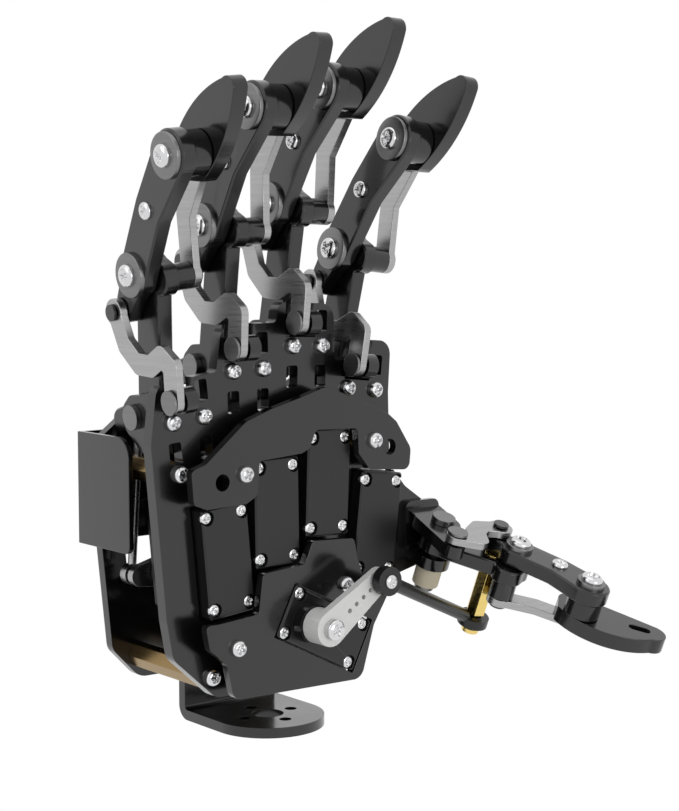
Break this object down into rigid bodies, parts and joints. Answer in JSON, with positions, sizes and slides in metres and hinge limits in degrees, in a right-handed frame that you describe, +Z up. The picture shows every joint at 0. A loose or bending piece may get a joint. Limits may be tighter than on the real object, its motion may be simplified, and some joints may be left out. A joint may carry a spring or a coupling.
{
  "type": "robotic hand",
  "caption": "Servo-driven robotic hand with linkage fingers and thumb on a stacked black plate palm, with a flanged wrist bracket.",
  "frame": {"origin": "centre of the wrist bracket's hole on the underside of its flange", "axes": "+X towards the thumb, -Y out of the front of the palm, +Z up along the fingers"},
  "size_m": [0.0939, 0.0703, 0.1322],
  "materials": {
    "black_plate": "satin",
    "servo_black": "satin",
    "bright_steel": "brushed",
    "chrome_steel": "polished",
    "brass": "satin",
    "white_plastic": "satin",
    "cream_nylon": "matte",
    "black_plastic": "satin"
  },
  "bodies": {
    "palm": {"back_hood": "black_plate", "back_plate": "black_plate", "bracket_pins": "chrome_steel", "knuckle_brackets": "black_plate", "knuckle_cover_plate": "black_plate", "lower_cover_plate": "black_plate", "palm_plate": "black_plate", "plate_screws": "chrome_steel", "servo_case_screws": "chrome_steel", "servo_index": "servo_black", "servo_little": "servo_black", "servo_long": "servo_black", "servo_ring": "servo_black", "standoffs": "brass", "thumb_bracket": "black_plate", "thumb_servo": "servo_black", "thumb_spacer": "cream_nylon", "wrist_bracket": "black_plate"},
    "little_proximal_body": {"little_proximal": "black_plate"},
    "little_middle_body": {"little_middle": "black_plate", "little_joint_screws": "chrome_steel"},
    "little_claw_body": {"little_claw": "black_plate"},
    "little_s_link_body": {"little_s_link": "bright_steel"},
    "little_coupler_body": {"little_coupler": "bright_steel"},
    "little_horn_body": {"little_horn": "bright_steel"},
    "little_rod_body": {"little_push_rod": "bright_steel"},
    "ring_proximal_body": {"ring_proximal": "black_plate"},
    "ring_middle_body": {"ring_middle": "black_plate", "ring_joint_screws": "chrome_steel"},
    "ring_claw_body": {"ring_claw": "black_plate"},
    "ring_s_link_body": {"ring_s_link": "bright_steel"},
    "ring_coupler_body": {"ring_coupler": "bright_steel"},
    "ring_horn_body": {"ring_horn": "bright_steel"},
    "ring_rod_body": {"ring_push_rod": "bright_steel"},
    "long_proximal_body": {"long_proximal": "black_plate"},
    "long_middle_body": {"long_middle": "black_plate", "long_joint_screws": "chrome_steel"},
    "long_claw_body": {"long_claw": "black_plate"},
    "long_s_link_body": {"long_s_link": "bright_steel"},
    "long_coupler_body": {"long_coupler": "bright_steel"},
    "long_horn_body": {"long_horn": "bright_steel"},
    "long_rod_body": {"long_push_rod": "bright_steel"},
    "index_proximal_body": {"index_proximal": "black_plate"},
    "index_middle_body": {"index_middle": "black_plate", "index_joint_screws": "chrome_steel"},
    "index_claw_body": {"index_claw": "black_plate"},
    "index_s_link_body": {"index_s_link": "bright_steel"},
    "index_coupler_body": {"index_coupler": "bright_steel"},
    "index_horn_body": {"index_horn": "bright_steel"},
    "index_rod_body": {"index_push_rod": "bright_steel"},
    "thumb_proximal_body": {"thumb_proximal": "black_plate", "thumb_post": "brass"},
    "thumb_middle_body": {"thumb_middle": "black_plate", "thumb_joint_screws": "chrome_steel"},
    "thumb_claw_body": {"thumb_claw": "black_plate"},
    "thumb_s_link_body": {"thumb_s_link": "bright_steel"},
    "thumb_coupler_body": {"thumb_coupler": "bright_steel"},
    "thumb_arm_body": {"thumb_arm": "white_plastic"},
    "thumb_rod_body": {"thumb_rod": "black_plastic", "thumb_ball_joint": "black_plastic"}
  },
  "joints": [
    {"name": "little_knuckle", "type": "hinge", "parent": "palm", "child": "little_proximal_body", "pos_m": [-0.02756, -0.0037, 0.0625], "axis": [0.9936, 0, 0.1132], "range_deg": [-4, 20]},
    {"name": "little_middle_joint", "type": "hinge", "parent": "little_proximal_body", "child": "little_middle_body", "pos_m": [-0.03044, -0.0078, 0.08783], "axis": [0.9936, 0, 0.1132], "range_deg": [-7.3, 36.52]},
    {"name": "little_claw_joint", "type": "hinge", "parent": "little_middle_body", "child": "little_claw_body", "pos_m": [-0.03273, -0.0227, 0.1079], "axis": [0.9936, 0, 0.1132], "range_deg": [-4.7, 23.5]},
    {"name": "little_s_link_joint", "type": "hinge", "parent": "palm", "child": "little_s_link_body", "pos_m": [-0.028, -0.0187, 0.06637], "axis": [0.9936, 0, 0.1132], "range_deg": [-3.14, 15.68]},
    {"name": "little_coupler_joint", "type": "hinge", "parent": "little_proximal_body", "child": "little_coupler_body", "pos_m": [-0.03031, -0.0108, 0.08664], "axis": [0.9936, 0, 0.1132], "range_deg": [-7.18, 35.9]},
    {"name": "little_horn_joint", "type": "hinge", "parent": "palm", "child": "little_horn_body", "pos_m": [-0.02057, 0.0041, 0.03212], "axis": [0, 1, 0], "range_deg": [-7, 35]},
    {"name": "little_rod_joint", "type": "hinge", "parent": "little_horn_body", "child": "little_rod_body", "pos_m": [-0.02654, 0.0066, 0.03155], "axis": [0, -1, 0], "range_deg": [-7.32, 36.58]},
    {"name": "ring_knuckle", "type": "hinge", "parent": "palm", "child": "ring_proximal_body", "pos_m": [-0.01451, -0.0037, 0.07065], "axis": [0.9997, 0, 0.0262], "range_deg": [-4, 20]},
    {"name": "ring_middle_joint", "type": "hinge", "parent": "ring_proximal_body", "child": "ring_middle_body", "pos_m": [-0.01518, -0.0078, 0.09614], "axis": [0.9997, 0, 0.0262], "range_deg": [-7.3, 36.52]},
    {"name": "ring_claw_joint", "type": "hinge", "parent": "ring_middle_body", "child": "ring_claw_body", "pos_m": [-0.01571, -0.0227, 0.11633], "axis": [0.9997, 0, 0.0262], "range_deg": [-4.7, 23.5]},
    {"name": "ring_s_link_joint", "type": "hinge", "parent": "palm", "child": "ring_s_link_body", "pos_m": [-0.01461, -0.0187, 0.07455], "axis": [0.9997, 0, 0.0262], "range_deg": [-3.14, 15.68]},
    {"name": "ring_coupler_joint", "type": "hinge", "parent": "ring_proximal_body", "child": "ring_coupler_body", "pos_m": [-0.01515, -0.0108, 0.09494], "axis": [0.9997, 0, 0.0262], "range_deg": [-7.18, 35.9]},
    {"name": "ring_horn_joint", "type": "hinge", "parent": "palm", "child": "ring_horn_body", "pos_m": [-0.00997, 0.0041, 0.03975], "axis": [0, 1, 0], "range_deg": [-7, 35]},
    {"name": "ring_rod_joint", "type": "hinge", "parent": "ring_horn_body", "child": "ring_rod_body", "pos_m": [-0.01597, 0.0066, 0.03965], "axis": [0, -1, 0], "range_deg": [-7.32, 36.58]},
    {"name": "long_knuckle", "type": "hinge", "parent": "palm", "child": "long_proximal_body", "pos_m": [-0.00099, -0.0037, 0.0745], "axis": [0.9997, 0, -0.0262], "range_deg": [-4, 20]},
    {"name": "long_middle_joint", "type": "hinge", "parent": "long_proximal_body", "child": "long_middle_body", "pos_m": [-0.00032, -0.0078, 0.09999], "axis": [0.9997, 0, -0.0262], "range_deg": [-7.3, 36.52]},
    {"name": "long_claw_joint", "type": "hinge", "parent": "long_middle_body", "child": "long_claw_body", "pos_m": [0.00021, -0.0227, 0.12018], "axis": [0.9997, 0, -0.0262], "range_deg": [-4.7, 23.5]},
    {"name": "long_s_link_joint", "type": "hinge", "parent": "palm", "child": "long_s_link_body", "pos_m": [-0.00089, -0.0187, 0.0784], "axis": [0.9997, 0, -0.0262], "range_deg": [-3.14, 15.68]},
    {"name": "long_coupler_joint", "type": "hinge", "parent": "long_proximal_body", "child": "long_coupler_body", "pos_m": [-0.00035, -0.0108, 0.09879], "axis": [0.9997, 0, -0.0262], "range_deg": [-7.18, 35.9]},
    {"name": "long_horn_joint", "type": "hinge", "parent": "palm", "child": "long_horn_body", "pos_m": [0.00167, 0.0041, 0.0442], "axis": [0, 1, 0], "range_deg": [-7, 35]},
    {"name": "long_rod_joint", "type": "hinge", "parent": "long_horn_body", "child": "long_rod_body", "pos_m": [-0.00433, 0.0066, 0.04438], "axis": [0, -1, 0], "range_deg": [-7.32, 36.58]},
    {"name": "index_knuckle", "type": "hinge", "parent": "palm", "child": "index_proximal_body", "pos_m": [0.01205, -0.0037, 0.0659], "axis": [0.9945, 0, -0.1045], "range_deg": [-4, 20]},
    {"name": "index_middle_joint", "type": "hinge", "parent": "index_proximal_body", "child": "index_middle_body", "pos_m": [0.01472, -0.0078, 0.09126], "axis": [0.9945, 0, -0.1045], "range_deg": [-7.3, 36.52]},
    {"name": "index_claw_joint", "type": "hinge", "parent": "index_middle_body", "child": "index_claw_body", "pos_m": [0.01683, -0.0227, 0.11135], "axis": [0.9945, 0, -0.1045], "range_deg": [-4.7, 23.5]},
    {"name": "index_s_link_joint", "type": "hinge", "parent": "palm", "child": "index_s_link_body", "pos_m": [0.01246, -0.0187, 0.06978], "axis": [0.9945, 0, -0.1045], "range_deg": [-3.14, 15.68]},
    {"name": "index_coupler_joint", "type": "hinge", "parent": "index_proximal_body", "child": "index_coupler_body", "pos_m": [0.01459, -0.0108, 0.09006], "axis": [0.9945, 0, -0.1045], "range_deg": [-7.18, 35.9]},
    {"name": "index_horn_joint", "type": "hinge", "parent": "palm", "child": "index_horn_body", "pos_m": [0.01334, 0.0041, 0.03523], "axis": [0, -1, 0], "range_deg": [-7, 35]},
    {"name": "index_rod_joint", "type": "hinge", "parent": "index_horn_body", "child": "index_rod_body", "pos_m": [0.0193, 0.0066, 0.03455], "axis": [0, 1, 0], "range_deg": [-7.32, 36.58]},
    {"name": "thumb_knuckle", "type": "hinge", "parent": "palm", "child": "thumb_proximal_body", "pos_m": [0.027, -0.0187, 0.035], "axis": [0, 0.375, -0.927], "range_deg": [-6, 16]},
    {"name": "thumb_middle_joint", "type": "hinge", "parent": "thumb_proximal_body", "child": "thumb_middle_body", "pos_m": [0.03648, -0.02998, 0.03044], "axis": [0, 0.375, -0.927], "range_deg": [-8.52, 22.72]},
    {"name": "thumb_claw_joint", "type": "hinge", "parent": "thumb_middle_body", "child": "thumb_claw_body", "pos_m": [0.0415, -0.04394, 0.02479], "axis": [0, 0.375, -0.927], "range_deg": [-5.05, 13.46]},
    {"name": "thumb_s_link_joint", "type": "hinge", "parent": "palm", "child": "thumb_s_link_body", "pos_m": [0.02382, -0.02558, 0.03222], "axis": [0, 0.375, -0.927], "range_deg": [-4.65, 12.4]},
    {"name": "thumb_coupler_joint", "type": "hinge", "parent": "thumb_proximal_body", "child": "thumb_coupler_body", "pos_m": [0.03407, -0.03102, 0.03002], "axis": [0, 0.375, -0.927], "range_deg": [-8.13, 21.68]},
    {"name": "thumb_arm_joint", "type": "hinge", "parent": "palm", "child": "thumb_arm_body", "pos_m": [-0.0051, -0.0254, 0.0237], "axis": [0, -1, 0], "range_deg": [-4.14, 11.04]},
    {"name": "thumb_rod_joint", "type": "hinge", "parent": "thumb_arm_body", "child": "thumb_rod_body", "pos_m": [0.0065, -0.0278, 0.0313], "axis": [-0.124, 0.9833, -0.133], "range_deg": [-6.3, 16.8]}
  ],
  "couplings": [
    {"joint": "little_middle_joint", "follows": "little_knuckle", "ratio": 1.826},
    {"joint": "little_claw_joint", "follows": "little_knuckle", "ratio": 1.175},
    {"joint": "little_s_link_joint", "follows": "little_knuckle", "ratio": 0.784},
    {"joint": "little_coupler_joint", "follows": "little_knuckle", "ratio": 1.795},
    {"joint": "little_horn_joint", "follows": "little_knuckle", "ratio": 1.75},
    {"joint": "little_rod_joint", "follows": "little_knuckle", "ratio": 1.829},
    {"joint": "ring_middle_joint", "follows": "ring_knuckle", "ratio": 1.826},
    {"joint": "ring_claw_joint", "follows": "ring_knuckle", "ratio": 1.175},
    {"joint": "ring_s_link_joint", "follows": "ring_knuckle", "ratio": 0.784},
    {"joint": "ring_coupler_joint", "follows": "ring_knuckle", "ratio": 1.795},
    {"joint": "ring_horn_joint", "follows": "ring_knuckle", "ratio": 1.75},
    {"joint": "ring_rod_joint", "follows": "ring_knuckle", "ratio": 1.829},
    {"joint": "long_middle_joint", "follows": "long_knuckle", "ratio": 1.826},
    {"joint": "long_claw_joint", "follows": "long_knuckle", "ratio": 1.175},
    {"joint": "long_s_link_joint", "follows": "long_knuckle", "ratio": 0.784},
    {"joint": "long_coupler_joint", "follows": "long_knuckle", "ratio": 1.795},
    {"joint": "long_horn_joint", "follows": "long_knuckle", "ratio": 1.75},
    {"joint": "long_rod_joint", "follows": "long_knuckle", "ratio": 1.829},
    {"joint": "index_middle_joint", "follows": "index_knuckle", "ratio": 1.826},
    {"joint": "index_claw_joint", "follows": "index_knuckle", "ratio": 1.175},
    {"joint": "index_s_link_joint", "follows": "index_knuckle", "ratio": 0.784},
    {"joint": "index_coupler_joint", "follows": "index_knuckle", "ratio": 1.795},
    {"joint": "index_horn_joint", "follows": "index_knuckle", "ratio": 1.75},
    {"joint": "index_rod_joint", "follows": "index_knuckle", "ratio": 1.829},
    {"joint": "thumb_middle_joint", "follows": "thumb_knuckle", "ratio": 1.42},
    {"joint": "thumb_claw_joint", "follows": "thumb_knuckle", "ratio": 0.841},
    {"joint": "thumb_s_link_joint", "follows": "thumb_knuckle", "ratio": 0.775},
    {"joint": "thumb_coupler_joint", "follows": "thumb_knuckle", "ratio": 1.355},
    {"joint": "thumb_arm_joint", "follows": "thumb_knuckle", "ratio": 0.69},
    {"joint": "thumb_rod_joint", "follows": "thumb_knuckle", "ratio": 1.05}
  ]
}
